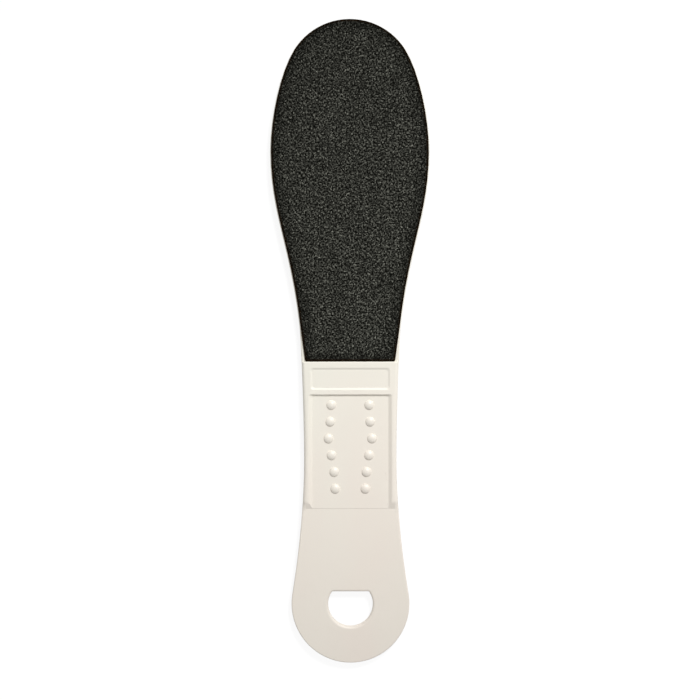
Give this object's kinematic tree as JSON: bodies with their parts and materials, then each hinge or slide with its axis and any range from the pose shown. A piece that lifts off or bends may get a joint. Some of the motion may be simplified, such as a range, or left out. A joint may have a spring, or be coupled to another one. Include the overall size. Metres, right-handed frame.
{
  "type": "foot file",
  "caption": "Flat moulded paddle with coated abrasive sheets on both faces and a grip handle with a D-shaped hanging hole.",
  "frame": {"origin": "centre of the file's length and width, on the plane that the header and rails of the rear face rest on", "axes": "+Y from the heel of the handle to the tip of the paddle, +Z through the thickness out of the front face, +X across"},
  "size_m": [0.062, 0.25, 0.005],
  "materials": {
    "moulded_plastic": "ivory injection-moulded polystyrene, satin from a lightly textured mould",
    "adhesive_film": "translucent amber pressure-sensitive adhesive, seen only as a line at the sheet's edge",
    "backing_paper": "heavy latex-treated brown paper, cut edge",
    "coarse_grit": "black silicon carbide grains in dark resin, coarse",
    "fine_grit": "black silicon carbide grains in dark resin, finer than the front"
  },
  "bodies": {
    "root": {"body": "moulded_plastic", "front_adhesive": "adhesive_film", "front_backing": "backing_paper", "front_grit": "coarse_grit", "rear_adhesive": "adhesive_film", "rear_backing": "backing_paper", "rear_grit": "fine_grit"}
  },
  "joints": []
}
